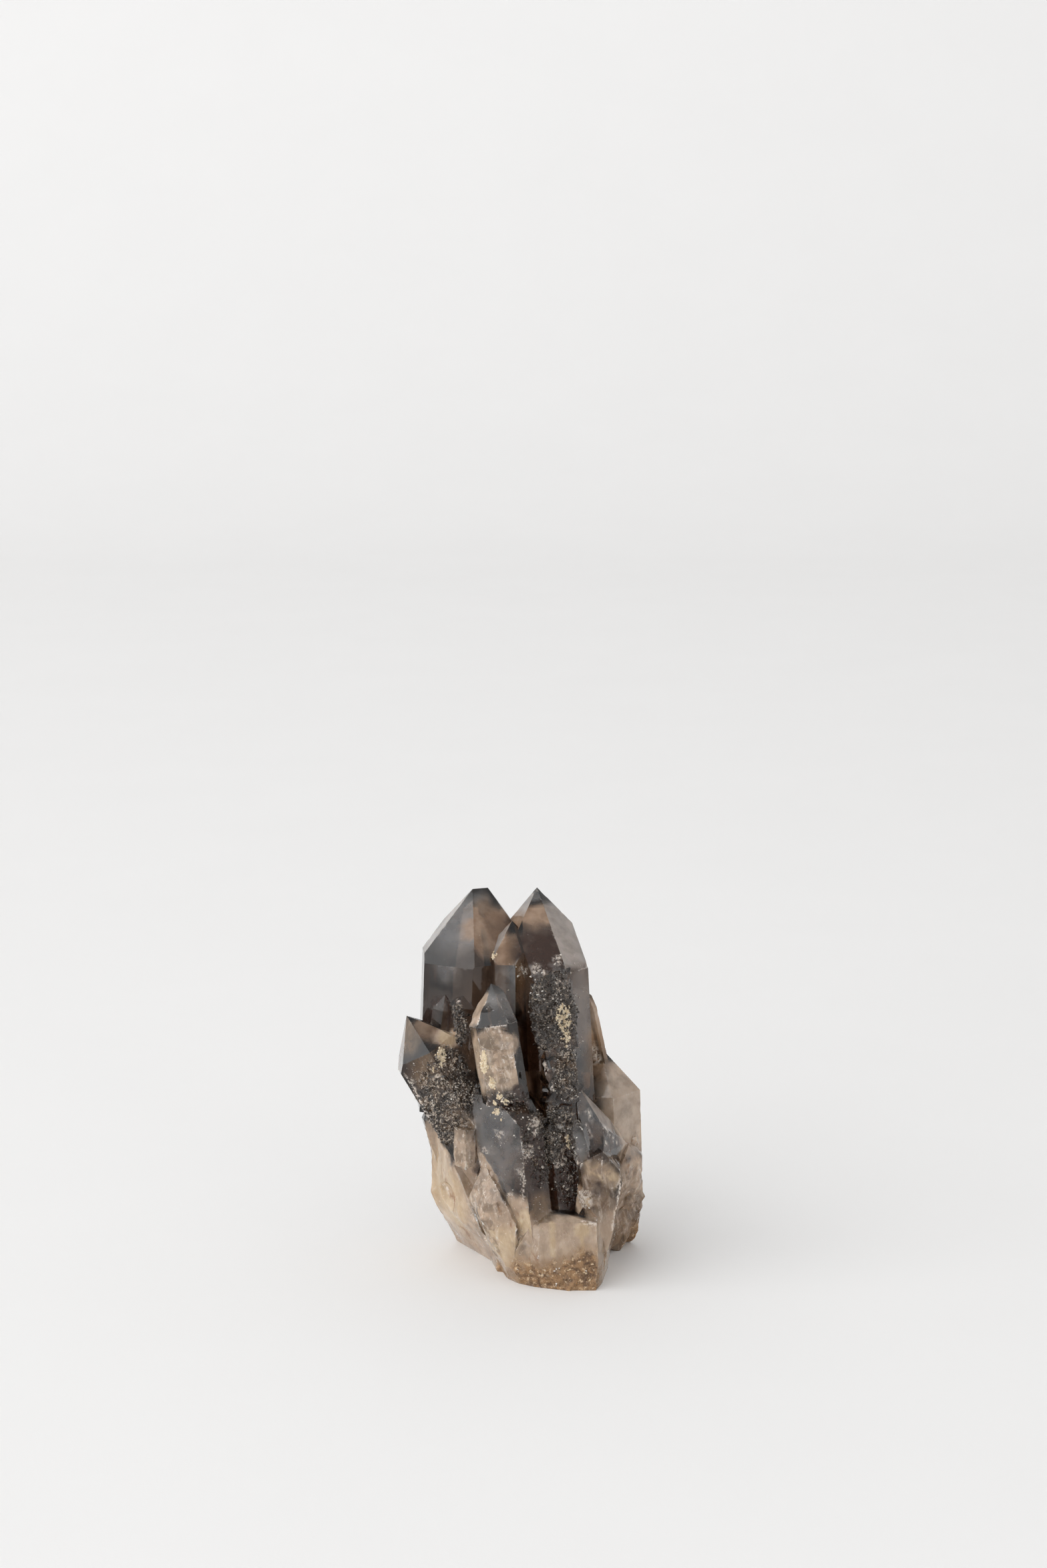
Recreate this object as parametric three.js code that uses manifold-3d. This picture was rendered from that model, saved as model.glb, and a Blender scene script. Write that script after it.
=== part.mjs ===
// A smoky quartz cluster: crystals grown together out of one broken, milky base.
//
// The whole specimen is one piece of quartz, so it is one solid. Every crystal is cut out of space by its own
// faces, as a real one is: six prism faces round a long axis, and above each a pyramid face at quartz's fixed
// angle. The faces stand at unequal distances, which gives each crystal its own uneven point. The base is made
// of broken blocks, some with clean fracture faces and some rough, and it is cut off flat underneath.
//
// Millimetres. +Z is up, the front of the specimen looks along -Y and +X is to its right.
// The origin is the middle of the underside.

import * as THREE from "three";
import { ConvexGeometry } from "three/addons/geometries/ConvexGeometry.js";
import { mergeVertices } from "three/addons/utils/BufferGeometryUtils.js";
import Module from "manifold-3d";

const wasm = await Module();
wasm.setup();

const DEG = Math.PI / 180;
const PYRAMID_SLOPE = 51.8 * DEG; // between a pyramid face and the plane square to the axis, in all quartz
const SAME_POINT = 1e-4;

// Crystals. tip is the point where the pyramid faces meet. lean is how far the axis tips to the right and to the
// back, in degrees. spin is the bearing of the first prism face: 0 faces the front, 90 the right. sides are the
// distances from the axis to the six prism faces, in order of bearing. lifts raise single pyramid faces above the
// tip, so that the others meet in a ridge or a smaller point. length runs from the tip down the axis.
const LEVEL = [0, 0, 0, 0, 0, 0];
const CRYSTALS = {
  tallLeft: {
    tip: [-10.8, 16, 84.2], lean: [2.1, 4.2], spin: -25, length: 50,
    sides: [12.4, 12, 9, 6, 6, 10.9], lifts: [0, 0, 4.6, 4.6, 0, 0],
  },
  tallRight: {
    tip: [3.8, 16, 84.6], lean: [-3, 4], spin: -8, length: 68,
    sides: [15, 13.6, 6.6, 6, 6.5, 7], lifts: LEVEL,
  },
  between: {
    tip: [-1.8, 10.5, 78.3], lean: [0, 4], spin: -8, length: 34,
    sides: [7, 5, 5, 4, 4, 6], lifts: LEVEL,
  },
  middle: {
    tip: [-6.5, -3, 67.4], lean: [-9, 4], spin: -8, length: 26,
    sides: [6.5, 6.5, 2.5, 4, 3.2, 6.5], lifts: [0, 0, 1, 0, 0, 0],
  },
  front: {
    tip: [-6, -3, 49.5], lean: [-6, 4], spin: -35, length: 40,
    sides: [5.1, 10.5, 10.1, 8, 6, 5.6], lifts: LEVEL,
  },
  frontRight: {
    tip: [9, -1, 44], lean: [-7, 4], spin: -35, length: 34,
    sides: [8.7, 5.8, 3.2, 6, 6, 8], lifts: LEVEL,
  },
  left: {
    tip: [-25.4, 1, 58.8], lean: [-30, 0], spin: -19, length: 44,
    sides: [6.5, 6.5, 7.3, 6, 6, 7.9], lifts: LEVEL,
  },
  backRight: {
    tip: [14.9, 15, 60.5], lean: [-12, 3], spin: -13, length: 36,
    sides: [2.9, 2.9, 1, 3, 3, 3], lifts: LEVEL,
  },
  right: {
    tip: [17.8, 14, 48], lean: [-2, 2], spin: -13, length: 26,
    sides: [8, 8.2, 8.2, 6, 6, 8], lifts: LEVEL,
  },
  footOfTallLeft: {
    tip: [-12.2, 2.4, 64.6], lean: [6, 0], spin: 12, length: 24,
    sides: [3, 3, 3, 3, 3, 3], lifts: LEVEL,
  },
  footOfTallLeftOuter: {
    tip: [-16.8, 3, 63], lean: [8, 0], spin: 30, length: 20,
    sides: [2.4, 2.4, 2.4, 2.4, 2.4, 2.4], lifts: LEVEL,
  },
  slanting: {
    tip: [7.4, -4, 48.6], lean: [-40, 0], spin: 0, length: 8,
    sides: [1.9, 1.9, 1.9, 1.9, 1.9, 1.9], lifts: LEVEL,
  },
  sliver: {
    tip: [5.3, -5, 50.6], lean: [-14, 0], spin: 20, length: 9,
    sides: [1.2, 0.7, 0.7, 1.2, 0.7, 0.7], lifts: LEVEL,
  },
  clearStub: {
    tip: [11.9, -10, 38.4], lean: [-14, 0], spin: 10, length: 13,
    sides: [1.9, 1.9, 1.9, 1.9, 1.9, 1.9], lifts: LEVEL,
  },
  backLeft: {
    tip: [-7, 20, 59], lean: [3, 13], spin: 170, length: 36,
    sides: [6, 5, 4.5, 5, 5, 5.5], lifts: LEVEL,
  },
  backMiddle: {
    tip: [6, 22, 47], lean: [10, 20], spin: 175, length: 30,
    sides: [5, 4, 4, 4, 4.5, 5], lifts: LEVEL,
  },
  backLow: {
    tip: [-15, 22.5, 38], lean: [-16, 26], spin: 150, length: 24,
    sides: [3.4, 3, 3.2, 3, 3, 3.4], lifts: LEVEL,
  },
  backRightLow: {
    tip: [22, 20.5, 36], lean: [18, 12], spin: 160, length: 22,
    sides: [3.6, 3, 3, 3.4, 3, 3], lifts: LEVEL,
  },
  leftLow: {
    tip: [-20.6, 9, 36], lean: [-14, 6], spin: -80, length: 20,
    sides: [2.6, 2.8, 3, 2.4, 2.6, 3], lifts: LEVEL,
  },
};

// Broken blocks with clean fracture faces, by their corners.
const BLOCKS = {
  heart: [
    [-13, 1, 37], [12, 0, 38], [-14, 18.5, 37], [14, 14, 38], [-6, -5, 30], [8, -7, 30],
    [-5, -4, -1], [14, -10, -1], [19, 4, -1], [17, 17, -1], [-9, 15, -1],
  ],
  front: [
    [1.6, -14.4, 14], [4.2, -15, 15.8], [7, -12, 17.6], [17.1, -15.2, 15.9], [18.4, -12, 14],
    [-1.3, -13.8, 8], [-1.6, -13, 3], [4, -15.9, 7], [17.4, -16, 7], [19.4, -11, 7], [0, -10.6, -1],
    [5.1, -13.6, -1], [10.9, -15.4, -1], [16.7, -15.4, -1], [18.2, -11.4, -1], [-3, -4, 14], [-4, -2, -1],
    [20, 0, -1], [17, -4, 16],
  ],
  frontLeft: [
    [-8.8, -7, 27.4], [-5.3, -10.6, 22.9], [-2.7, -12.8, 18.2], [-0.7, -14.4, 14.4], [-10.8, -6.5, 21.4],
    [-11.8, -5, 17.4], [-9.1, -10, 14.5], [-1.3, -14, 7.8], [-2.8, -11.5, 3], [-2.7, -7.3, -1],
    [0, -10.6, -1], [-4.7, 0.9, -1], [-10, 4, 20], [0, 0, 24],
  ],
  left: [
    [-17, 6, 37], [-20.6, 13, 36], [-16, 18, 37], [-20.6, 8, 29.3], [-20.7, 8, 14.7], [-19.6, 9, 11.3],
    [-18, 11, 7.6], [-16, 14, 2.8], [-14.3, 16, -1], [-11.5, 14.8, -1], [-7.7, 10.1, -1],
    [-4.7, 0.9, -1], [-14.8, -4, 25.2], [-11.8, -5, 17.4], [-8.8, -6, 10.3], [-4, -3, 3], [-12, 0, 34],
    [-16, 19, 27], [-14, 20, 12], [-9, 19, -1], [0, 15, -1], [0, 15, 30],
  ],
  rightFront: [
    [13.2, -12.6, 28.6], [18.4, -11, 31], [22.2, -9.6, 25.9], [22.7, -9.4, 23], [21.6, -10.4, 18],
    [19.6, -11.8, 7], [18.4, -9, -1], [14.4, -13.6, 20], [17.2, -13.8, 16], [14, 2, 30], [22.6, 4, 25],
    [21.6, 6, 14], [20.5, 7, -1], [12, -10, 14],
  ],
  rightShoulder: [
    [13.1, -4, 43.6], [12.5, -6, 41.3], [13.1, -8, 35.7], [15, -10, 30.8], [16.5, -9, 28.7], [18.6, -8, 29.6],
    [18.7, -5, 34.6], [16.6, -3, 38], [24.4, 5, 27.3], [17.2, 5, 36.8], [21, 3, 32.9], [12, 4, 40],
    [12, 4, 20], [22, 4, 20],
  ],
  stub: [
    [-14.7, -6, 35], [-12.2, -8, 34.9], [-9.9, -7, 34.8], [-14.7, -6, 26], [-12.2, -8.2, 25], [-9.9, -7, 26],
    [-14.7, 0, 35], [-9.9, 0, 34.8], [-14.7, 0, 26], [-9.9, 0, 26],
  ],
};

// Druses: rows of small crystals. They stand along the line from one end to the other, strewn off it by up to
// spread each way, and lean about the way that the patch leans. girth is the distance from axis to prism face.
const DRUSES = [
  { from: [-9.5, -7, 46], to: [0.5, -10.5, 42], spread: [1, 0.6, 1.6], count: 12, lean: [-10, -30], girth: 0.8 },
  { from: [2, -10.6, 38], to: [8, -9.4, 33], spread: [1.6, 0.6, 3], count: 12, lean: [-8, -35], girth: 0.9 },
  { from: [13.2, -9, 34], to: [21, 0, 31], spread: [1, 1, 2], count: 9, lean: [20, -30], girth: 0.8 },
  { from: [-19, 4, 60], to: [-13, 0, 55], spread: [1.4, 0.5, 2.4], count: 10, lean: [6, -8], girth: 0.9 },
  { from: [-8, 21, 28], to: [14, 22.4, 26], spread: [2, 0.5, 3], count: 16, lean: [0, 40], girth: 1.1 },
  { from: [26.4, 14, 28], to: [27, 8, 27], spread: [0.6, 2, 1.5], count: 7, lean: [35, 0], girth: 0.9 },
];
const DRUSE_SEED = 20417;

// Shell-shaped fractures, each by its middle and its half widths.
const BITES = [
  { at: [12.9, -16.4, 19.6], reach: [3.4, 2.7, 4] },
  { at: [-6, -12, 56.6], reach: [6.4, 2.7, 3.4] },
  { at: [-4.6, -12.4, 1], reach: [4, 3, 3.4] },
  { at: [-20, -1.5, 14], reach: [6.2, 6.6, 7] },
  { at: [-17.5, 14.5, 14], reach: [2.6, 4.5, 6] },
  { at: [25.6, -2.4, 14], reach: [3.6, 5, 8] },
  { at: [0, 24.5, 15], reach: [9, 5, 8] },
  { at: [19.5, -13.6, 3], reach: [1.8, 2, 3] },
];

// Rough blocks, by the corners of the form that their lumps follow.
const ROUGH_BLOCKS = {
  rightRock: [
    [28.6, 9, 22], [29.2, 9, 16.1], [28.2, 10, 8], [27.6, 12, 3.5], [25, 16, -1], [21.5, 8, -1],
    [20, 2, 14], [24.4, 3, 27], [27.6, 9, 26], [26, 18, 22], [25, 20, 8], [20, 20, -1], [16, 20, 26],
    [10, 18, -1], [10, 16, 26],
  ],
  backRock: [
    [-14, 19, 26], [-10, 21, 12], [-8, 20, -1], [8, 22, 24], [10, 22, 8], [8, 20, -1], [20, 19, 26],
    [20, 20, 6], [18, 18, -1], [0, 10, 34], [0, 8, -1], [16, 10, 30], [-12, 10, 28],
  ],
  upperCrust: [
    [1.2, -2, 66], [2.2, -3.6, 59.4], [4.4, -5.4, 51], [5, -5.6, 48], [6, -2.2, 70], [11.4, -1.4, 70],
    [12.8, -2.6, 59], [12.4, -4.4, 48], [2, 6, 64], [5, 6, 48], [11.6, 6, 69], [12, 6, 48],
  ],
  lowerCrust: [
    [4.6, -5.6, 52], [5.6, -8, 44.6], [7, -9.2, 34], [12, -5, 51], [12.8, -6.4, 45], [13, -8.6, 35],
    [4, 2, 50], [4, 2, 32], [13, 4, 50], [13, 4, 32],
  ],
  stainedFoot: [
    [0, -10.8, 5], [2, -13, 7], [10.5, -16.2, 7], [17.2, -15.2, 7], [18.8, -12, 6], [18, -11.4, -1],
    [16.7, -15.4, -1], [10.9, -15.6, -1], [5.1, -13.6, -1], [1, -10.6, -1], [4, -6, 6], [16, -6, 6],
    [16, -6, -1], [4, -6, -1],
  ],
};

// A unit vector square to the axis, at a bearing round it.
function bearing(axis, degrees) {
  const right = new THREE.Vector3(1, 0, 0).addScaledVector(axis, -axis.x).normalize();
  const front = new THREE.Vector3().crossVectors(right, axis);
  return front
    .multiplyScalar(Math.cos(degrees * DEG))
    .addScaledVector(right, Math.sin(degrees * DEG));
}

// The corners of the body that lies behind every one of the planes.
function cornersBehind(planes) {
  const corners = [];
  planes.forEach((a, i) =>
    planes.slice(i + 1).forEach((b, j) =>
      planes.slice(i + j + 2).forEach((c) => {
        const bc = new THREE.Vector3().crossVectors(b.normal, c.normal);
        const mixed = a.normal.dot(bc);
        if (Math.abs(mixed) < 1e-9) return;
        const ca = new THREE.Vector3().crossVectors(c.normal, a.normal);
        const ab = new THREE.Vector3().crossVectors(a.normal, b.normal);
        const corner = bc
          .multiplyScalar(-a.constant)
          .addScaledVector(ca, -b.constant)
          .addScaledVector(ab, -c.constant)
          .divideScalar(mixed);
        if (planes.every((p) => p.distanceToPoint(corner) < SAME_POINT)) corners.push(corner);
      }),
    ),
  );
  return corners;
}

// The planes of one crystal's faces, facing out.
function facesOf({ tip, lean, spin, length, sides, lifts }) {
  const point = new THREE.Vector3(...tip);
  const axis = new THREE.Vector3(Math.tan(lean[0] * DEG), Math.tan(lean[1] * DEG), 1).normalize();
  const faces = [];
  sides.forEach((side, i) => {
    const out = bearing(axis, spin + 60 * i);
    const shoulder = point
      .clone()
      .addScaledVector(out, side)
      .addScaledVector(axis, lifts[i] - side * Math.tan(PYRAMID_SLOPE));
    const roof = out
      .clone()
      .multiplyScalar(Math.sin(PYRAMID_SLOPE))
      .addScaledVector(axis, Math.cos(PYRAMID_SLOPE));
    faces.push(new THREE.Plane().setFromNormalAndCoplanarPoint(out, shoulder));
    faces.push(new THREE.Plane().setFromNormalAndCoplanarPoint(roof, shoulder));
  });
  const foot = point.clone().addScaledVector(axis, -length);
  faces.push(new THREE.Plane().setFromNormalAndCoplanarPoint(axis.clone().negate(), foot));
  return faces;
}

// A three.js geometry as a manifold-3d solid, and back.
function solidOf(geometry) {
  const bare = geometry.clone();
  bare.deleteAttribute("normal");
  bare.deleteAttribute("uv");
  const merged = mergeVertices(bare, SAME_POINT);
  return new wasm.Manifold(
    new wasm.Mesh({
      numProp: 3,
      vertProperties: merged.attributes.position.array,
      triVerts: new Uint32Array(merged.index.array),
    }),
  );
}

function geometryOf(solid) {
  const { vertProperties, triVerts } = solid.getMesh();
  return new THREE.BufferGeometry()
    .setAttribute("position", new THREE.BufferAttribute(vertProperties, 3))
    .setIndex(new THREE.BufferAttribute(triVerts, 1));
}

// Numbers between 0 and 1 that come out the same every time.
function seededNumbers(seed) {
  let state = seed;
  return () => {
    state = (state * 1664525 + 1013904223) % 4294967296;
    return state / 4294967296;
  };
}

const hullOf = (corners) => new ConvexGeometry(corners.map((corner) => new THREE.Vector3(...corner)));
const crystalSolid = (crystal) => solidOf(new ConvexGeometry(cornersBehind(facesOf(crystal))));
const blockSolid = (corners) => solidOf(hullOf(corners));

// The small crystals of one druse.
function druseCrystals({ from, to, spread, count, lean, girth }, random) {
  const off = (reach) => reach * (2 * random() - 1);
  return Array.from({ length: count }, (_, i) => {
    const along = (i + 0.5) / count;
    const size = girth * (0.7 + 0.7 * random());
    return {
      tip: from.map((start, k) => start + along * (to[k] - start) + off(spread[k])),
      lean: lean.map((degrees) => degrees + off(16)),
      spin: 60 * random(),
      length: 7 * size,
      sides: LEVEL.map(() => size * (0.8 + 0.4 * random())),
      lifts: LEVEL,
    };
  });
}

function biteSolid({ at, reach }) {
  const shell = new THREE.IcosahedronGeometry(1, 2);
  return solidOf(shell.scale(...reach).translate(...at));
}

// Soft lumps and hollows, between -1 and 1, about one wave long.
const ROUGH_WAVE = 5;
function lumpiness(p) {
  const waves = [
    [1, 0.3, -0.2, 0.4, 1],
    [-0.4, 1, 0.5, 1.9, 1],
    [0.2, -0.6, 1, 4.1, 1],
    [1.5, -1.2, 0.8, 2.6, 0.7],
    [-1.0, 1.5, 1.3, 5.3, 0.7],
    [1.6, 1.4, -1.5, 0.9, 0.4],
  ];
  const turn = (2 * Math.PI) / ROUGH_WAVE;
  let sum = 0;
  for (const [x, y, z, phase, weight] of waves) {
    sum += weight * Math.sin(turn * (x * p.x + y * p.y + z * p.z) + phase);
  }
  return sum / 2.5;
}

// A block whose faces are broken into lumps about as large as its ball's triangles.
const ROUGH_DEPTH = 0.8;
const ROUGH_DETAIL = 6;
function roughSolid(corners) {
  const hull = hullOf(corners);
  const middle = corners
    .reduce((sum, corner) => sum.add(new THREE.Vector3(...corner)), new THREE.Vector3())
    .divideScalar(corners.length);
  const planes = [];
  const at = hull.attributes.position;
  for (let i = 0; i < at.count; i += 3) {
    const [a, b, c] = [i, i + 1, i + 2].map((k) => new THREE.Vector3().fromBufferAttribute(at, k));
    planes.push(new THREE.Plane().setFromCoplanarPoints(a, b, c));
  }
  const ball = new THREE.IcosahedronGeometry(1, ROUGH_DETAIL);
  const spot = ball.attributes.position;
  for (let i = 0; i < spot.count; i++) {
    const way = new THREE.Vector3().fromBufferAttribute(spot, i).normalize();
    const reach = planes
      .filter((plane) => plane.normal.dot(way) > 1e-6)
      .map((plane) => -plane.distanceToPoint(middle) / plane.normal.dot(way));
    const place = middle.clone().addScaledVector(way, Math.min(...reach));
    place.addScaledVector(way, ROUGH_DEPTH * (lumpiness(place) - 0.6));
    spot.setXYZ(i, place.x, place.y, place.z);
  }
  return solidOf(ball);
}

const random = seededNumbers(DRUSE_SEED);
const solids = [
  ...Object.values(CRYSTALS).map(crystalSolid),
  ...DRUSES.flatMap((druse) => druseCrystals(druse, random)).map(crystalSolid),
  ...Object.values(BLOCKS).map(blockSolid),
  ...Object.values(ROUGH_BLOCKS).map(roughSolid),
];
const grown = solids.reduce((whole, solid) => whole.add(solid));

// What lies below the flat cut that the specimen rests on.
const GROUND = 200;
const ground = solidOf(new THREE.BoxGeometry(GROUND, GROUND, GROUND).translate(0, 0, -GROUND / 2));
const broken = BITES.map(biteSolid).reduce((whole, bite) => whole.subtract(bite), grown);
const cluster = geometryOf(broken.subtract(ground));
cluster.computeBoundingBox();
const middle = cluster.boundingBox.getCenter(new THREE.Vector3());
cluster.translate(-middle.x, -middle.y, 0);

const smokyQuartz = new THREE.MeshStandardMaterial({ color: 0x4a403a, roughness: 0.15, metalness: 0 });
const mesh = new THREE.Mesh(cluster, smokyQuartz);
mesh.name = "smoky_quartz_cluster";

const group = new THREE.Group();
group.add(mesh);

export default group;
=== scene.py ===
"""A smoky quartz cluster on a seamless pale sheet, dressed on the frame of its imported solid.

The solid gives every crystal face and every broken block. Here its surface is taken over, divided finely
where the stone is rough, crusted or chipped, and given the relief of those places. Small druse crystals,
clay crumbs and pale grains are pieces of their own. Lengths are millimetres until a mesh is made.
"""

import math
from typing import NamedTuple

import bmesh
import bpy
import numpy as np
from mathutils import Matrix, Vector
from mathutils.geometry import delaunay_2d_cdt
from mathutils.kdtree import KDTree


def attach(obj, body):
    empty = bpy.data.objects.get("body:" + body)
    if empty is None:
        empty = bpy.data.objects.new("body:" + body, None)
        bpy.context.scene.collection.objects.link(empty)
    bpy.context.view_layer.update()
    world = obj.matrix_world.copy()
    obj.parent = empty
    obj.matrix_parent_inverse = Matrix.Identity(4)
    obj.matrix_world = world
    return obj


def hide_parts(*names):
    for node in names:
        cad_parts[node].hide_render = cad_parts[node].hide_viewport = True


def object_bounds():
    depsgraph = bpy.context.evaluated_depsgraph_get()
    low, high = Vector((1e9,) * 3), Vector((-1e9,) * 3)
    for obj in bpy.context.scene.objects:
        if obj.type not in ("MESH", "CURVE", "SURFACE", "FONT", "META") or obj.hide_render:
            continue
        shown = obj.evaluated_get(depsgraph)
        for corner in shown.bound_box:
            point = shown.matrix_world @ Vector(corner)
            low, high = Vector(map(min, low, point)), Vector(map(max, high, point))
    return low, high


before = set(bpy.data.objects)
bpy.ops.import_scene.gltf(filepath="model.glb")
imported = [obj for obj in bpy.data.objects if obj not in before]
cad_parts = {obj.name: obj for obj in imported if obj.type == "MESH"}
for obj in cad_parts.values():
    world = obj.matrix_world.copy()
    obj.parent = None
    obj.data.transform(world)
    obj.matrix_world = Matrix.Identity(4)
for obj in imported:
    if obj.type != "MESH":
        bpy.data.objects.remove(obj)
cad_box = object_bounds()

MM = 0.001
TINY = 1e-12
NODE = "smoky_quartz_cluster"
BODY = "root"

# The camera, as the photograph was taken: above the specimen's front, looking down.
CAMERA_AT = (0.07, -659.05, 254.8)
CAMERA_DOWN = 12.3
CAMERA_LENS = 70
CAMERA_SENSOR = 36


def off_line(points, start, end):
    """How far points are from a straight line between two others, flat or in space."""
    line = np.subtract(end, start)
    along = np.clip((points - start) @ line / max(line @ line, TINY), 0, 1)
    return np.linalg.norm(points - start - along[:, None] * line, axis=1)


# Where the stone's looks differ
class Spot(NamedTuple):
    """An ellipsoid, or only the faces in it that look one way. The front looks along -Y."""

    middle: tuple
    reach: tuple
    facing: tuple = None

    def away(self, points):
        return np.linalg.norm((points - self.middle) / np.array(self.reach), axis=1)


class Strip(NamedTuple):
    """What lies near a straight line, whichever way it looks."""

    start: tuple
    end: tuple
    reach: float
    facing = None

    def away(self, points):
        return off_line(points, self.start, self.end) / self.reach


# The ways that single faces look, first those of the crystals, then those of the broken blocks
TALL_LEFT_FACE = (-0.31, -0.66, 0.68)
TALL_LEFT_OUTER_FACE = (-0.76, -0.02, 0.65)
TALL_LEFT_INNER_FACE = (0.47, -0.60, 0.65)
TALL_LEFT_PRISM = (-0.42, -0.90, 0.08)
TALL_RIGHT_FACE = (-0.14, -0.73, 0.66)
TALL_RIGHT_INNER_FACE = (-0.76, -0.25, 0.60)
TALL_RIGHT_OUTER_FACE = (0.59, -0.44, 0.68)
TALL_RIGHT_INNER_PRISM = (-0.93, -0.38, -0.02)
TALL_RIGHT_OUTER_PRISM = (0.79, -0.61, 0.08)
BETWEEN_FACE = (-0.11, -0.73, 0.67)
BETWEEN_LEFT_FACE = (-0.73, -0.25, 0.64)
BETWEEN_PRISM = (-0.14, -0.99, 0.07)
BETWEEN_RIGHT_PRISM = (0.79, -0.61, 0.04)
MIDDLE_FACE = (-0.20, -0.73, 0.65)
MIDDLE_LEFT_FACE = (-0.82, -0.26, 0.52)
MIDDLE_RIGHT_FACE = (0.52, -0.43, 0.74)
MIDDLE_PRISM = (-0.14, -0.99, 0.05)
MIDDLE_LEFT_PRISM = (-0.92, -0.38, -0.12)
MIDDLE_FRACTURE = (-0.20, -0.85, 0.49)
FRONT_LEFT_PRISM = (-0.57, -0.82, 0.0)
FRONT_RIGHT_PRISM = (0.42, -0.90, 0.11)
LEANING_TOP = (0.14, -0.59, 0.79)
LEANING_LEFT_TOP = (-0.53, -0.74, 0.41)
LEANING_FRONT = (-0.28, -0.95, -0.16)
LEANING_SIDE = (-0.98, -0.15, 0.15)
SLIVER_FACE = (-0.48, -0.82, 0.30)
SHOULDER_FACE = (0.57, -0.70, 0.43)
SHOULDER_RIGHT_FACE = (0.84, -0.13, 0.53)
BROKEN_LEFT_FACE = (-0.57, -0.80, 0.20)
BROKEN_FAR_LEFT_FACE = (-0.70, -0.69, 0.18)
BROKEN_RIGHT_INNER_FACE = (-0.80, -0.60, -0.04)
BROKEN_RIGHT_OUTER_FACE = (0.61, -0.79, -0.01)

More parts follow.
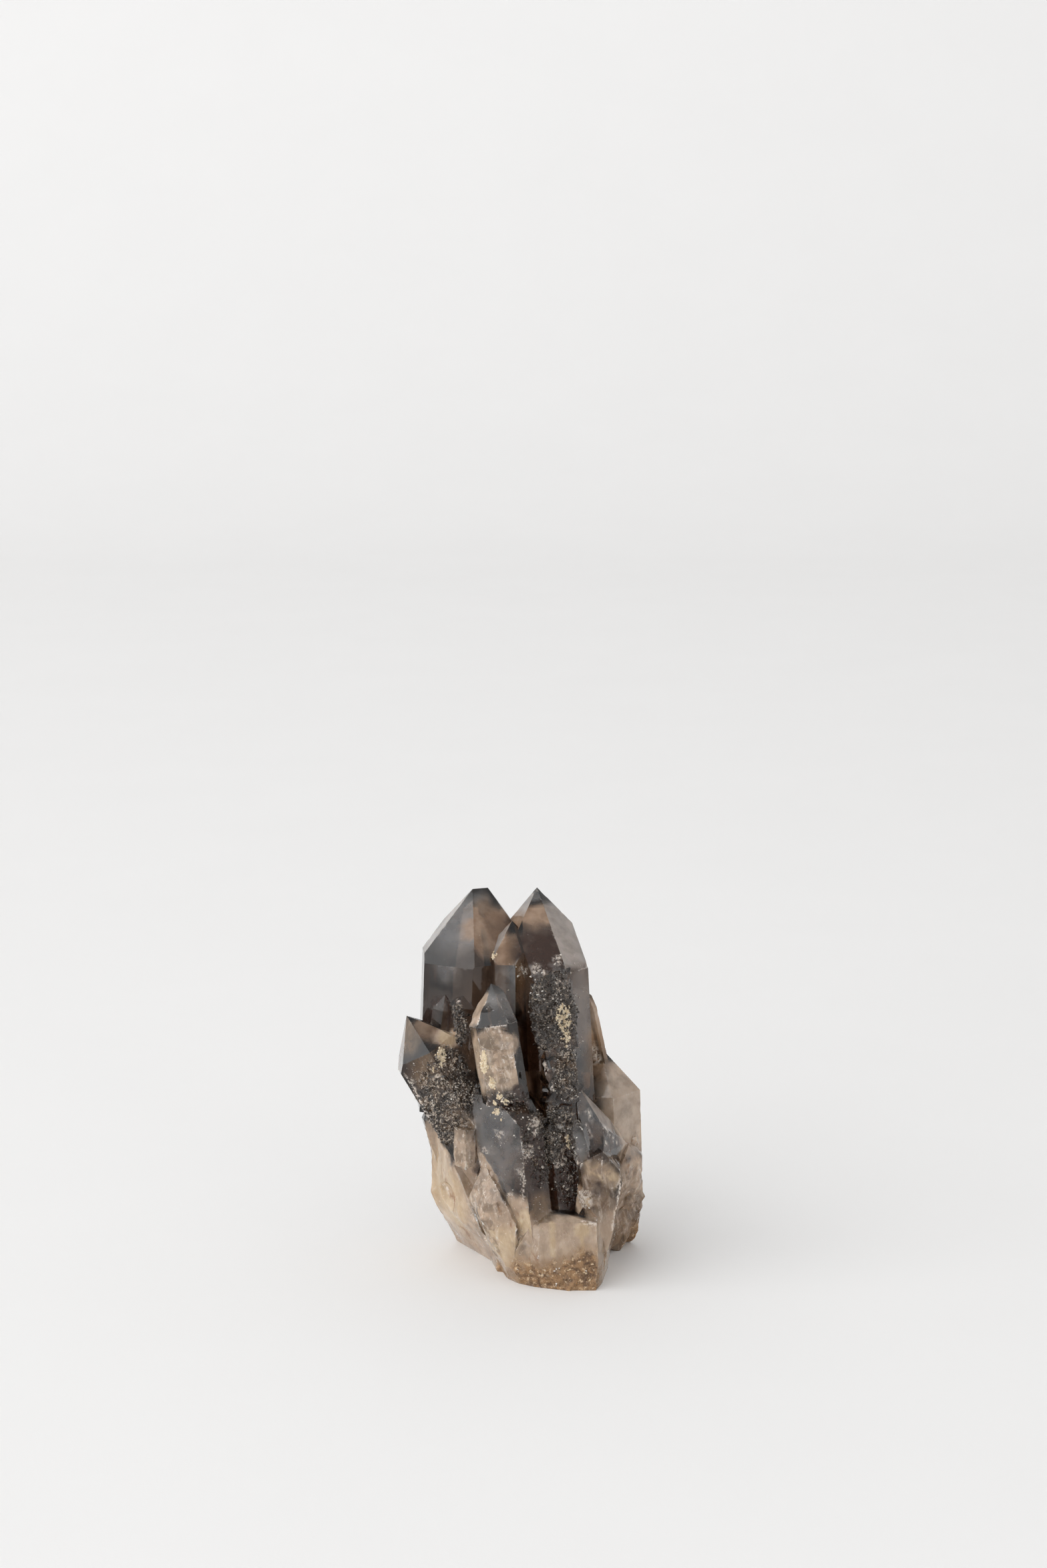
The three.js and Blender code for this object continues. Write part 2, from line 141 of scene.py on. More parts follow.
ZONES = {
    # Milky and clear broken quartz
    "pale": [
        Spot((9, -17, 5), (14, 9, 13)),
        Spot((8, -19, 9), (11, 4, 9.5)),
        Spot((9.3, -18.6, 15.6), (8.5, 2.6, 2.3)),
        Spot((-4, -16, 12), (6, 6, 9)),
        Spot((-11, -8.5, 14), (6, 6, 12)),
        Spot((-8.4, -13.4, 20), (5, 5, 9), BROKEN_LEFT_FACE),
        Spot((-10.3, -12.2, 20), (5, 5, 9), BROKEN_FAR_LEFT_FACE),
        Spot((-1.5, -17.5, 12), (8, 5, 12), FRONT_LEFT_PRISM),
        Spot((3, -18, 14.5), (4, 3, 4.5)),
        Spot((0.5, -18, 13), (4.5, 3, 4)),
        Spot((-9.8, -9.8, 62), (4, 5, 6), MIDDLE_LEFT_FACE),
        Spot((-16.8, -6.6, 54.5), (3.2, 3.2, 2.4)),
        Spot((-16, 2, 14), (9, 14, 18)),
        Spot((-20, 2, 28), (4, 6, 8)),
        Spot((24, 4, 13), (7, 12, 14)),
        Spot((22, -8, 10), (8, 8, 12)),
        Spot((17, -16, 11.5), (6, 8, 9)),
        Spot((-5, -15, 51.5), (9, 5, 9.5), MIDDLE_PRISM),
        Spot((-6.2, -14.8, 55), (8, 5, 6), MIDDLE_FRACTURE),
        Spot((-6, -14.5, 55.5), (7, 3, 4)),
        Spot((-10, -13, 50), (3, 5, 11), MIDDLE_LEFT_PRISM),
        Spot((-13.2, -10.5, 28.5), (3.6, 5, 12)),
        Spot((-13.5, -8, 21), (4, 5, 8)),
        # Painted light: lightens the dark reflection of the gap and the contact shade along the break
        Strip((-9.5, -11.5, 28), (-3.5, -16.3, 17), 1.4),
        Spot((12.3, -16.5, 20), (2.5, 3, 5), BROKEN_RIGHT_INNER_FACE),
        Spot((0, 17, 10), (22, 9, 15)),
        Spot((20, 12, 11), (9, 9, 12)),
        Spot((0, 0, 2), (44, 34, 14)),
    ],
    # The whitest of it
    "milky": [
        Spot((-17, 0, 15), (8, 11, 13)),
        Spot((-5, -16.8, 9), (5, 4, 6)),
        Spot((-7.5, -14, 8.5), (4, 4, 6)),
        Spot((-16.8, -6.6, 54.6), (2.6, 3, 2)),
        # Painted light over a downward face that lies in shade by the break
        Spot((-9.5, -11.5, 12.5), (2.5, 2.5, 5)),
        Strip((6.3, -19.4, 15.8), (6.6, -20.2, 8.5), 0.8),
        Spot((14.3, -17.9, 20.2), (0.9, 1.5, 1.6)),
        Strip((12.9, -19.8, 13.6), (13.1, -20, 10.4), 0.5),
        Strip((-1.9, -18.5, 11.5), (-1.9, -18.2, 8.5), 0.5),
        Strip((14.2, -16.5, 28.3), (16.2, -16.2, 28.5), 0.7),
        Strip((15.2, -16.4, 27.8), (20.6, -14.9, 24), 1.8),
        Spot((0.2, -18.4, 14.8), (3, 2.5, 3.5), FRONT_LEFT_PRISM),
        # Painted light over a shaded crease in the front block
        Spot((13, -19.7, 14.3), (2.2, 2, 2)),
    ],
    # White edges, chips and veins, and painted highlights: bright lines along some crystal edges and glints on
    # the front block's top
    "white": [
        # Painted highlight: the bright line along the right front crystal's edge
        Strip((21.5, -13.2, 25.5), (21.2, -14.3, 19), 0.7),
        Strip((21.2, -14.3, 19), (19.9, -15.5, 13), 0.5),
        Strip((-5.7, -14, 59.4), (-4.9, -14.1, 57.2), 0.4),
        Strip((-4.9, -14.1, 57.2), (-4.8, -14.7, 54.4), 0.4),
        Strip((-26, -7.8, 46.2), (-23.7, -8, 41.7), 0.4),
        Strip((-23.7, -8, 41.7), (-21, -8, 35.5), 0.45),
        Strip((-18.5, -0.5, 20), (-17.3, -1.2, 14), 0.5),
        # Painted highlight and glints along the front block's top edge
        Strip((13.5, -18.9, 16.4), (16.4, -19.3, 16.2), 0.8),
        Spot((15, -19.5, 15.6), (1.9, 1.5, 0.7)),
        Strip((14.7, -9.9, 38.2), (15.1, -10.2, 37.2), 0.35),
        Strip((14, -11.9, 35.7), (14.5, -12.1, 34.5), 0.35),
        Strip((18.3, -8.6, 34.4), (19.4, -7.4, 32.2), 0.4),
        Strip((20.2, -6, 31), (21.2, -4.7, 28.9), 0.35),
        Strip((18.3, -10.2, 31.9), (20.2, -11.5, 27.6), 0.35),
        Strip((11.2, -15.6, 31.5), (11.9, -15.2, 28.2), 0.35),
        Strip((11.9, -15.2, 28.2), (13.3, -16.3, 28.8), 0.35),
        Strip((16, 7, 48), (17.2, 6.9, 45.2), 0.6),
        Strip((4.7, -10.3, 49.5), (6.6, -11.3, 44), 0.6),
    ],
    # Quartz full of small cracks
    "cracked": [
        Spot((-6.2, -14.8, 51.5), (6, 4, 10)),
        Spot((-8.5, -12, 15), (6, 7, 15)),
        Spot((-13, -11, 28), (3, 4, 8)),
        Spot((20, -6, 27), (4, 8, 6)),
        Spot((17, -16.5, 22), (5, 3, 8)),
        Spot((6, -16, 10), (10, 4, 8)),
        Spot((24, 2, 12), (7, 9, 11)),
        Spot((8, 17, 14), (16, 6, 9)),
    ],
    # Light brown stone, clouded all through
    "tan": [
        Spot((23, 6, 33), (8, 11, 16)),
        Spot((-16.8, -6.4, 54.4), (3.6, 3.6, 2.7)),
        Spot((15.5, 7, 54), (2.6, 4, 5)),
    ],
    # Dark skin of tiny crystals
    "crust": [
        Spot((6.2, -5.5, 60), (6.5, 6.5, 11.5)),
        Spot((9.5, -9.5, 47), (3.5, 5, 8)),
        Spot((7, -13.5, 34), (6.5, 4.5, 9)),
        Spot((9.4, -13.8, 24), (3.2, 3, 9)),
        Spot((4, -16.5, 28), (3, 3, 6)),
        Spot((1, -17.2, 34.5), (1.6, 2.5, 4)),
        Spot((-16.5, -8.5, 43), (7.5, 4.5, 11.5)),
        Spot((-18.5, -8, 34), (5, 4, 6)),
        Strip((-14.5, -4.2, 60.5), (-13.6, -5.2, 54), 1.6),
        Spot((-3, 18, 34), (10, 6, 9)),
        Spot((15, 16, 30), (8, 6, 8)),
        Spot((-19, 9, 33), (5, 6, 6)),
        Spot((-3, -14, 42.5), (4.5, 4, 3)),
    ],
    # Black stone, where nothing shines through
    "dark": [
        Spot((-1.2, -15.6, 44.6), (1.9, 2.5, 2.7)),
        Spot((4.5, 0.5, 72.5), (8, 7, 5.6), TALL_RIGHT_FACE),
        Spot((0.7, 1, 47), (3, 8, 13), BETWEEN_RIGHT_PRISM),
        Spot((2, -3, 52), (4, 6, 16), TALL_RIGHT_INNER_PRISM),
        Spot((4.2, -9.5, 44), (2, 3, 4), SLIVER_FACE),
        Spot((2.8, -17.3, 30), (4, 4, 9), FRONT_RIGHT_PRISM),
        Spot((9.7, -13.4, 22), (5, 4, 9), FRONT_RIGHT_PRISM),
        Spot((7, -14.5, 23), (1.5, 3, 8), FRONT_LEFT_PRISM),
        Spot((-3.5, -15, 42), (5, 3, 1.8)),
        Spot((0.4, -17.6, 35.8), (1.3, 2, 3.2)),
        Spot((-17.5, -0.5, 57.5), (5.5, 3.5, 6)),
        Spot((14.9, -15.7, 29.9), (0.9, 1.3, 0.9)),
        Spot((10.5, -13, 33), (1.8, 2.5, 3.4)),
        Spot((15.6, -13, 31), (1.2, 2, 1.2)),
        Spot((16.3, -16.9, 22.6), (1.5, 2, 2)),
    ],
    # Iron stain at the foot
    "stain": [
        Spot((11, -20, 1.5), (13, 5, 9)),
        Spot((1, -19, 1), (9, 5, 8)),
        Spot((14, -20, 5.5), (4.5, 4, 6)),
        Spot((26, 7, 2), (5, 10, 6)),
        Spot((12, 19, 6), (14, 6, 9)),
        Spot((-12, 14, 4), (8, 7, 7)),
        Spot((-4, -10, 0), (6, 6, 4)),
        Spot((-15, -6, -1), (6, 7, 7)),
    ],
    # Brown stain along the breaks
    "tinged": [
        Strip((-9, -12, 27), (-3.6, -17.6, 14.5), 1),
        Spot((-8, -13.6, 21), (2, 3, 2)),
        Spot((1.6, -18, 17.5), (3.4, 3, 2.2)),
        Spot((19.5, -8, 27), (3, 5, 3)),
        Spot((-14, 3, 4), (6, 8, 4)),
        Strip((1, -20, 12), (4, -19, 3), 1.6),
        Spot((24, 1.5, 22), (4, 5, 3)),
        Strip((-18, -1, 24), (-14, -3, 8), 2.2),
        Spot((-7.5, -14, 21.5), (2, 3, 3), BROKEN_LEFT_FACE),
    ],
    # Cream clay in the hollows
    "cream": [
        Spot((-18.2, -9.4, 51), (1.2, 2, 2.6)),
        Spot((-20, -9.2, 48.6), (0.6, 1.5, 1.6)),
        Spot((-5.2, -15.4, 43.8), (0.9, 1.6, 1)),
        Spot((-3.9, -15.6, 42.6), (0.9, 1.6, 0.9)),
        Spot((-6.2, -15.2, 42.2), (0.7, 1.6, 0.7)),
        Spot((-5.6, -15, 40), (0.6, 1.6, 0.9)),
        Spot((-6.9, -15.2, 46.6), (0.8, 1.5, 1.5)),
        Spot((-8.7, -14.6, 51), (0.9, 2, 3.2)),
        Spot((8.9, -7, 59.3), (1.9, 2, 4)),
        Spot((9.6, -8, 55.5), (0.9, 2, 2.2)),
        Spot((10.2, -12.8, 32.6), (0.8, 2, 2.2)),
        Spot((-6.7, 0.4, 71.6), (0.4, 1, 1)),
        Spot((-5.8, 0, 69.2), (0.6, 1, 0.7)),
        Spot((6, 17, 34), (5, 3, 2.5)),
    ],
    # Whitish crumbs
    "crumbly": [
        Strip((2.3, -2.6, 68), (2.8, -2.4, 69.3), 0.6),
        Strip((2.8, -2.4, 69.3), (4.5, -2.9, 69.3), 0.5),
        Strip((4.5, -2.9, 69.3), (4.9, -3.6, 68), 0.5),
        Strip((2.8, -3.4, 67.3), (4.2, -3.6, 67.2), 0.4),
        Spot((0.2, 0, 68), (1, 1.2, 0.8)),
        Spot((7.8, -6.2, 67.3), (1, 1.5, 0.7)),
        Spot((7.8, -1.3, 71.2), (0.6, 1, 1.6)),
        Spot((1.3, -17.4, 31.7), (1.2, 1.5, 1.5)),
        Spot((8, -14, 27.4), (1.3, 2, 1)),
        Spot((10.6, -13.8, 24.3), (0.8, 1.5, 0.8)),
        Spot((2.6, -15.9, 37), (1.2, 1.5, 2.4)),
        Spot((-7.8, -14.9, 41.6), (0.7, 1, 0.8)),
        Spot((-5.1, -14.6, 34.8), (0.6, 1, 0.8)),
        Spot((-8.4, -12.3, 29.9), (0.8, 1, 0.5)),
        Spot((-3, -16, 21.2), (0.7, 1, 0.5)),
        Spot((-2.1, -15.7, 44.4), (0.4, 0.8, 0.5)),
        Spot((13.6, -17.3, 20.5), (2.3, 2, 2.5)),
        Strip((0.3, -17.9, 33), (0.1, -18.2, 21), 0.3),
        Strip((-14.2, -3.6, 62), (-13.2, -4.6, 58), 0.5),
    ],
    # Brown stone, nearly clear
    "brown": [
        Spot((17, -16, 23.5), (6, 7, 8)),
        Spot((4, -17.5, 18.5), (3.5, 3, 4.5)),
        Spot((-13, -11, 35), (2.5, 3, 1.8)),
        Spot((-25, -6, 55), (4, 5, 6), LEANING_LEFT_TOP),
        Spot((-22, -10, 48), (5, 4, 6), LEANING_FRONT),
        Spot((15.5, 4, 47.5), (5, 8, 8)),
        Spot((24, 2, 7), (7, 9, 9)),
        # Painted light: this prism face lies in shade, and its upper part is made lighter brown
        Spot((-3, 0, 66), (6, 5, 8), BETWEEN_RIGHT_PRISM),
    ],
    # Brown stone, partly a painted glow: a paler warm colour that stands in for light shining through the
    # crystals
    "amber_and_painted_glow": [
        Spot((-8, 6.5, 76), (6, 9, 8), TALL_LEFT_INNER_FACE),
        Spot((-3.4, 1, 71.5), (4, 5, 5.5), BETWEEN_FACE),
        Spot((-11.7, 4.2, 77), (1.9, 3, 3), TALL_LEFT_FACE),
        Spot((-0.5, 9, 77.5), (5, 7, 6), TALL_RIGHT_INNER_FACE),
        Spot((18.8, -16, 14), (4, 4, 8), BROKEN_RIGHT_OUTER_FACE),
        Spot((4, 7.5, 79), (5, 4, 3), TALL_RIGHT_FACE),
        Spot((16, 8, 52), (5, 6, 10)),
        Spot((-19, -5, 56), (6, 6, 4), LEANING_TOP),
        Spot((8, 16, 40), (6, 5, 8)),
    ],
    # Faces with a greyish bloom, partly painted reflection: a pale colour that stands in for the room's sheen
    # on them
    "grey_bloom_and_painted_sheen": [
        Spot((-14, 5, 78), (8, 8, 9), TALL_LEFT_FACE),
        Spot((-9.5, 11, 82), (3, 3, 2.2), TALL_LEFT_INNER_FACE),
        Spot((-6.5, -14, 33), (8, 8, 16), FRONT_LEFT_PRISM),
        Spot((-7.5, -12, 65.5), (3.5, 4, 3.5), MIDDLE_FACE),
        Spot((-17, -0.5, 69), (4, 3, 3.5), TALL_LEFT_PRISM),
        Spot((-4, -10.4, 64), (4, 5, 5), MIDDLE_RIGHT_FACE),
        Spot((14, -10, 38), (6, 6, 8), SHOULDER_FACE),
        Spot((13, -2, 58), (4, 6, 16), TALL_RIGHT_OUTER_PRISM),
        Spot((2.6, 10.4, 83), (2, 3, 2), TALL_RIGHT_FACE),
        Spot((11.5, -16, 32), (3.5, 4, 5)),
        Spot((-3, -2, 63), (4, 4, 8), BETWEEN_PRISM),
        # Painted light on the same prism face, which lies in shade
        Spot((0, 0, 66), (5, 6, 8), BETWEEN_RIGHT_PRISM),
    ],
    # Faces painted lighter still: a painted reflection of the room at a grazing angle, put into their colour
    "light": [
        Spot((9.3, 4.8, 74.9), (8, 10, 12), TALL_RIGHT_OUTER_FACE),
        Spot((0.8, 11, 81.5), (4, 4, 3), TALL_RIGHT_INNER_FACE),
        Spot((-18.4, 9.6, 76), (8, 8, 9), TALL_LEFT_OUTER_FACE),
        Spot((-5.1, 4, 74.5), (4, 5, 5), BETWEEN_LEFT_FACE),
        Spot((-2, -4.6, 64), (4, 3, 7), BETWEEN_PRISM),
        Spot((16.9, -6.3, 37), (6, 6, 7), SHOULDER_RIGHT_FACE),
        Spot((-27.2, -4.4, 50.7), (2, 6, 8), LEANING_SIDE),
    ],
    # Crust with more pale dust on it
    "dusty": [
        Spot((-19, -9, 40), (8, 5, 13)),
        Spot((9, -6, 48), (4, 6, 8)),
        Spot((0, -14, 40), (5, 5, 4)),
        Spot((1.5, -17.5, 29.5), (2, 3, 2)),
        Spot((2.5, -18, 20), (3, 3, 2)),
    ],
    # Faces whose edges are nicked, and brightened along them with painted highlights
    "worn_and_painted_highlight": [
        Spot((-8, -12, 52), (9, 8, 16)),
        Spot((-5, -15, 26), (11, 8, 18)),
        Spot((14, -13, 28), (9, 9, 12)),
        Spot((0, 0, 6), (30, 24, 14)),
        Spot((12, -1, 68), (4, 5, 5)),
    ],
}


# Smooth numbers between 0 and 1
def ramp(x, start, end):
    """0 up to start and 1 from end, with a soft change between them."""
    t = np.clip((np.asarray(x, float) - start) / (end - start), 0, 1)
    return t * t * (3 - 2 * t)


def hashed(cells, seed):
    """A number between 0 and 1 for each row of whole numbers, always the same one."""
    n = cells.astype(np.int64)
    h = n[:, 0] * 374761393 + n[:, 1] * 668265263 + n[:, 2] * 974634777 + seed * 1274126177
    h = ((h ^ (h >> 13)) * 1274126177) & 0x7FFFFFFF
    h = ((h ^ (h >> 16)) * 668265263) & 0x7FFFFFFF
    return (h & 0xFFFFF) / float(0xFFFFF)


def lumps(points, size, seed):
    """Soft lumps about that size, between -1 and 1."""
    p = points / size
    cell = np.floor(p)
    t = p - cell
    t = t * t * (3 - 2 * t)
    total = np.zeros(len(p))
    for corner in np.ndindex(2, 2, 2):
        weight = np.prod(np.where(corner, t, 1 - t), axis=1)
        total += weight * hashed(cell + corner, seed)
    return 2 * total - 1


def fractal(points, size, octaves, seed):
    """Lumps with finer ones on them, between about -1 and 1."""
    total = np.zeros(len(points))
    share = 0.5
    for octave in range(octaves):
        total += share * lumps(points, size / 2**octave, seed + 17 * octave)
        share *= 0.55
    return total


def facets(points, size, seed):
    """A relief of small tilted flats with steps between them, each about that size."""
    p = points / size
    cell = np.floor(p)
    nearest = np.full(len(p), 9.0)
    height = np.zeros(len(p))
    for corner in np.ndindex(3, 3, 3):
        near = cell + corner - 1
        spot = near + np.stack([hashed(near, seed + k) for k in range(3)], axis=1)
        away = p - spot
        distance = np.linalg.norm(away, axis=1)
        tilt = 2 * np.stack([hashed(near, seed + 3 + k) for k in range(3)], axis=1) - 1
        level = (away * tilt).sum(axis=1) + hashed(near, seed + 7) - 0.5
        closer = distance < nearest
        height = np.where(closer, level, height)
        nearest = np.where(closer, distance, nearest)
    return height


# Axes turned away from the stone's own, so that no crease runs straight up
TURNED_AXES = np.array([[0.48, 0.62, 0.62], [-0.85, 0.50, 0.16], [-0.21, -0.60, 0.77]])


def creased(points, size, seed):
    """A relief of flat faces that meet in creases, each about that size, between -1 and 1."""
    p = points @ TURNED_AXES / size
    corner = np.floor(p)
    t = p - corner
    order = np.argsort(-t, axis=1)
    t = np.take_along_axis(t, order, axis=1)
    shares = np.stack([1 - t[:, 0], t[:, 0] - t[:, 1], t[:, 1] - t[:, 2], t[:, 2]], axis=1)
    total = shares[:, 0] * hashed(corner, seed)
    for step in range(3):
        corner = corner + np.eye(3)[order[:, step]]
        total += shares[:, step + 1] * hashed(corner, seed)
    return 2 * total - 1


def unevenness(points):
    """How much further out each place counts as being, which gives the zones uneven edges."""
    return 0.26 * fractal(points, 3, 4, seed=4)


# Where a zone starts to fade and where it ends, in shares of its parts' reach
USUAL_FADE = (0.72, 1.1)
FADES = {
    "pale": (0.5, 1.15),
    "stain": (0.25, 1.2),
    "brown": (0.5, 1.15),
    "milky": (0.6, 1.1),
    "grey_bloom_and_painted_sheen": (0.55, 1.2),
}
# The cosines of the angles at which a surface stops and starts to count as looking a face's way
SAME_WAY = (0.982, 0.992)


def zone(name, points, uneven, normals=None):
    """How far each point is inside a zone, from 0 to 1."""
    inside = np.zeros(len(points))
    for part in ZONES[name]:
        share = 1 - ramp(part.away(points) + uneven, *FADES.get(name, USUAL_FADE))
        if part.facing and normals is not None:
            share = share * ramp(normals @ np.array(part.facing), *SAME_WAY)
        inside = np.maximum(inside, share)
    return inside


# The stone's surface. Faces that meet nearly flat are taken as one, and a long crease is a ridge.
SAME_POINT = 0.001
FLAT = math.radians(0.5)
CREASE = math.radians(14)
SOFT_CREASE = math.radians(18)
LONG_EDGE = 2.2
EDGE_STEP = 0.2
EDGE_BAND = 0.5
ON_THE_CUT = 0.02

# The sides of the triangles
FINE, MIDDLING, COARSE = 0.42, 0.56, 2.4
FINE_ZONES = ("crust", "stain", "cream", "crumbly", "white")
ZONE_BEGINS = 0.1

# In shares of a side: how far inner points keep off the rim and off others, and how far apart their rows are
OFF_RIM, OFF_OTHERS = 0.5, 0.6
ROW_STEP = 0.866


def nearest(points, places):
    """How far each point is from the nearest of the places."""
    tree = KDTree(len(places))
    for i, place in enumerate(places):
        tree.insert(place, i)
    tree.balance()
    return np.array([tree.find(p)[2] for p in points])


class PackedSurface:
    """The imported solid's surface, with each flat face divided into triangles of the size wanted there."""

    def __init__(self):
        mesh = bmesh.new()
        mesh.from_mesh(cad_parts[NODE].data)
        bmesh.ops.scale(mesh, vec=(1 / MM,) * 3, verts=mesh.verts)
        bmesh.ops.remove_doubles(mesh, verts=mesh.verts, dist=SAME_POINT)
        bmesh.ops.dissolve_limit(mesh, angle_limit=FLAT, verts=mesh.verts, edges=mesh.edges)
        mesh.verts.index_update()
        mesh.edges.index_update()
        self.points = [np.array(v.co) for v in mesh.verts]
        self.ridges = [p for edge in mesh.edges for p in self.ridge_points(edge)]
        self.along = self.divided_edges(mesh)
        outlines = [FlatOutline(face, self.rim(face), self.points) for face in mesh.faces]
        mesh.free()
        self.add_grids([outline for outline in outlines if outline.area > FINE**2])
        self.triangles = []
        self.facing = []
        for outline in outlines:
            self.fill(outline)
            self.facing += [outline.normal] * (len(self.triangles) - len(self.facing))
        self.points = np.array(self.points)
        self.triangles = np.array(self.triangles)
        self.facing = np.array(self.facing)

    def ridge_points(self, edge):
        """Points along an edge, if it is a long convex one between two crystal or fracture faces."""
        length = edge.calc_length()
        if len(edge.link_faces) != 2 or length < LONG_EDGE or edge.calc_face_angle_signed() < CREASE:
            return []
        a, b = (self.points[v.index] for v in edge.verts)
        return [a + step * (b - a) for step in np.arange(0, 1, EDGE_STEP / length)]

    def wanted(self, places):
        """The side that triangles should have at each place."""
        near_ridge = nearest(places, self.ridges) < EDGE_BAND
        uneven = unevenness(places)
        rough = np.maximum.reduce([zone(name, places, uneven) for name in FINE_ZONES]) > ZONE_BEGINS
        broken = zone("pale", places, uneven) > ZONE_BEGINS
        return np.where(rough | near_ridge, FINE, np.where(broken, MIDDLING, COARSE))

    def divided_edges(self, mesh):
        """The numbers of the points along each edge, from its first end to its second."""
        ends = np.array([[v.index for v in edge.verts] for edge in mesh.edges])
        points = np.array(self.points)
        a, b = points[ends[:, 0]], points[ends[:, 1]]
        looks = [1 / self.wanted(a + t * (b - a)) for t in (0.1, 0.3, 0.5, 0.7, 0.9)]
        counts = np.linalg.norm(b - a, axis=1) * np.mean(looks, axis=0)
        along = []
        for i, count in enumerate(np.maximum(np.round(counts), 1).astype(int)):
            inner = range(len(self.points), len(self.points) + count - 1)
            self.points.extend(a[i] + step / count * (b[i] - a[i]) for step in range(1, count))
            along.append([ends[i, 0], *inner, ends[i, 1]])
        return along

    def rim(self, face):
        """The numbers of the points round a face."""
        rim = []
        for loop in face.loops:
            numbers = self.along[loop.edge.index]
            if numbers[0] != loop.vert.index:
                numbers = numbers[::-1]
            rim.extend(numbers[:-1])
        return rim

    def add_grids(self, outlines):
        """Grid points inside flat outlines, close where the surface is fine and sparse elsewhere."""
        for size in (COARSE, MIDDLING, FINE):
            grids = [outline.grid(size) for outline in outlines]
            places = [outline.in_space(grid) for outline, grid in zip(outlines, grids)]
            fits = self.wanted(np.concatenate(places)) == size
            shares = np.split(fits, np.cumsum([len(grid) for grid in grids])[:-1])
            for outline, grid, share in zip(outlines, grids, shares):
                outline.add_inner(grid[share], OFF_OTHERS * size)

    def fill(self, outline):
        """Triangles between the points round a face and those inside it."""
        rim = outline.rim
        if len(rim) == 3:
            self.triangles.append(rim)
            return
        flat = [Vector(p) for p in (*outline.flat, *outline.inner)]
        found = delaunay_2d_cdt(flat, [], [list(range(len(rim)))], 1, 1e-6)
        offset = len(self.points) - len(rim)
        self.points.extend(outline.in_space(outline.inner))
        number = [rim[o[0]] if o[0] < len(rim) else o[0] + offset for o in found[3]]
        for corners in found[2]:
            self.triangles.append([number[i] for i in corners])


# A direction that no face looks in
ODD_WAY = (0.31, 0.52, 0.79)


class FlatOutline:
    """One flat face, with its outline and the points inside it in its own plane."""

    def __init__(self, face, rim, points):
        self.rim = rim
        self.area = face.calc_area()
        around = np.array([points[i] for i in rim])
        self.normal = np.array(face.normal)
        right = np.cross(self.normal, ODD_WAY)
        right /= np.linalg.norm(right)
        self.axes = np.stack([right, np.cross(self.normal, right)])
        self.level = (around[0] @ self.normal) * self.normal
        self.flat = around @ self.axes.T
        self.inner = np.zeros((0, 2))

    def in_space(self, flat):
        return flat @ self.axes + self.level

    def grid(self, size):
        """A triangular grid of points that far apart, inside the outline and clear of it."""
        low, high = self.flat.min(axis=0), self.flat.max(axis=0)
        if (high - low).min() < size:
            return np.zeros((0, 2))
        rows = np.arange(low[1] + size / 2, high[1], size * ROW_STEP)
        columns = np.arange(low[0] + size / 2, high[0], size)
        x, y = np.meshgrid(columns, rows)
        x = x + (np.arange(len(rows)) % 2)[:, None] * size / 2
        points = np.stack([x.ravel(), y.ravel()], axis=1)
        points = points[inside_outline(points, self.flat)]
        return points[outline_distance(points, self.flat) > OFF_RIM * size]

    def add_inner(self, points, gap):
        """Adds points that keep that gap to those already inside."""
        if len(points) and len(self.inner):
            away = points[:, None] - self.inner[None]
            points = points[(away**2).sum(axis=2).min(axis=1) > gap**2]
        self.inner = np.concatenate([self.inner, points])


def inside_outline(points, rim):
    """Whether each flat point is inside the outline."""
    inside = np.zeros(len(points), bool)
    for a, b in zip(rim, np.roll(rim, -1, axis=0)):
        crosses = (a[1] > points[:, 1]) != (b[1] > points[:, 1])
        if not crosses.any():
            continue
        x = a[0] + (points[:, 1] - a[1]) / (b[1] - a[1]) * (b[0] - a[0])
        inside ^= crosses & (points[:, 0] < x)
    return inside


def outline_distance(points, rim):
    """How far each flat point is from the outline."""
    return np.min([off_line(points, a, b) for a, b in zip(rim, np.roll(rim, -1, axis=0))], axis=0)


def unit(vectors):
    """The vectors, each made one unit long."""
    return vectors / np.maximum(np.linalg.norm(vectors, axis=1, keepdims=True), TINY)


def square_to(points, triangles):
    """A vector square to each triangle, as long as twice its area."""
    a, b, c = (points[triangles[:, k]] for k in range(3))
    return np.cross(b - a, c - a)


def corner_normals(points, triangles):
    """The mean direction of the faces round each point."""
    normals = np.zeros_like(points)
    faces = square_to(points, triangles)
    for k in range(3):
        np.add.at(normals, triangles[:, k], faces)
    return unit(normals)


def mesh_object(name, points, triangles, material):
    """A piece of the object, from points in millimetres."""
    mesh = bpy.data.meshes.new(name)
    mesh.from_pydata(points * MM, [], triangles.tolist())
    mesh.materials.append(material)
    piece = bpy.data.objects.new(name, mesh)
    bpy.context.scene.collection.objects.link(piece)
    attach(piece, BODY)
    return piece


def keep_in_box(points):
    """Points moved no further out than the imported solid's box, which keeps the dressed stone to its size."""
    low, high = (np.array(corner) / MM for corner in cad_box)
    return np.clip(points, low, high)


# Soft crusts: how deep their lumps are, how far out they lie, the lumps' size, octaves and seed
LUMPY = {
    "stain": (0.42, -0.15, 1.5, 3, 8),
    "cream": (0.15, 0.12, 0.9, 2, 9),
    "crumbly": (0.25, 0.1, 0.8, 2, 10),
    "white": (0.12, 0.0, 0.9, 2, 11),
}
CHIP_DEPTH = 0.22
UNWORN_CHIPS = 0.35


